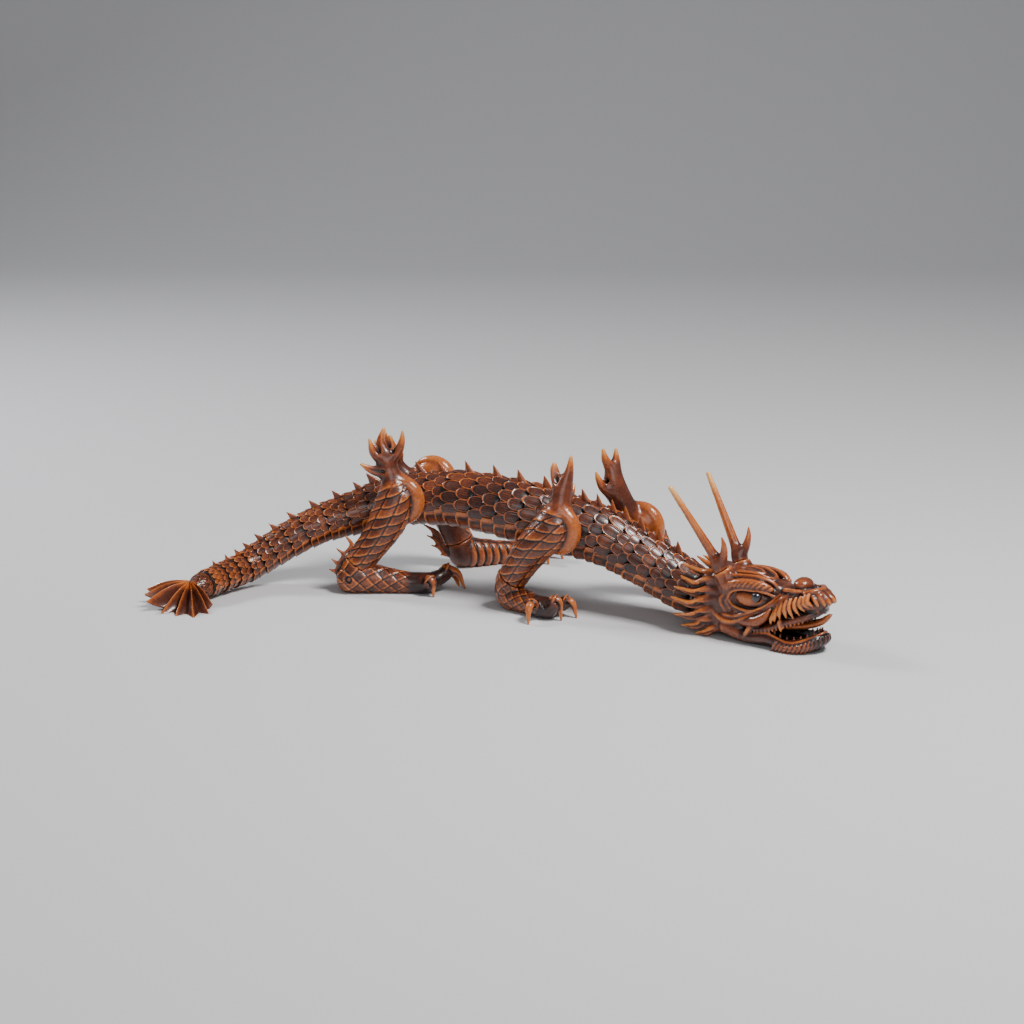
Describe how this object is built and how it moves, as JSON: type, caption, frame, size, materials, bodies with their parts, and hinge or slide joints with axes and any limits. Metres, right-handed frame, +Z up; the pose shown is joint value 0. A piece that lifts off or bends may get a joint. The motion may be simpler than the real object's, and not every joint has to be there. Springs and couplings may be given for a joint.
{
  "type": "articulated carved dragon sculpture",
  "caption": "Carved boxwood dragon of overlapping body rings, walking with four clawed legs, flame tufts, pleated tail fan and a long-horned head laid on the ground.",
  "frame": {"origin": "centre of the footprint of the whole dragon, on the ground it stands on", "axes": "+Z up, +X from the tail towards the head across the pictured view, +Y away from the pictured side"},
  "size_m": [0.3915, 0.2028, 0.0972],
  "materials": {
    "boxwood": "stained reddish brown boxwood, polished, dark patina in the recesses, worn orange on the high edges",
    "pupil": "polished dark horn bead"
  },
  "bodies": {
    "root": {"tail_ring_01": "boxwood", "tail_ring_02": "boxwood", "tail_ring_03": "boxwood", "tail_ring_04": "boxwood", "tail_ring_05": "boxwood", "tail_ring_06": "boxwood", "tail_ring_07": "boxwood", "tail_ring_08": "boxwood", "tail_ring_09": "boxwood", "tail_ring_10": "boxwood", "trunk_ring_01": "boxwood", "trunk_ring_02": "boxwood", "trunk_ring_03": "boxwood", "trunk_ring_04": "boxwood", "trunk_ring_05": "boxwood", "trunk_ring_06": "boxwood", "trunk_ring_07": "boxwood", "trunk_ring_08": "boxwood", "trunk_ring_09": "boxwood", "neck_ring_01": "boxwood", "neck_ring_02": "boxwood", "neck_ring_03": "boxwood", "neck_ring_04": "boxwood", "neck_ring_05": "boxwood", "neck_ring_06": "boxwood", "neck_ring_07": "boxwood", "neck_ring_08": "boxwood", "tail_fan": "boxwood", "head": "boxwood", "horn_right": "boxwood", "horn_left": "boxwood", "fore_right_upper_leg": "boxwood", "fore_right_lower_leg": "boxwood", "fore_left_upper_leg": "boxwood", "fore_left_lower_leg": "boxwood", "hind_right_upper_leg": "boxwood", "hind_right_lower_leg": "boxwood", "hind_left_upper_leg": "boxwood", "hind_left_lower_leg": "boxwood", "pupil_right": "pupil", "pupil_left": "pupil"}
  },
  "joints": []
}
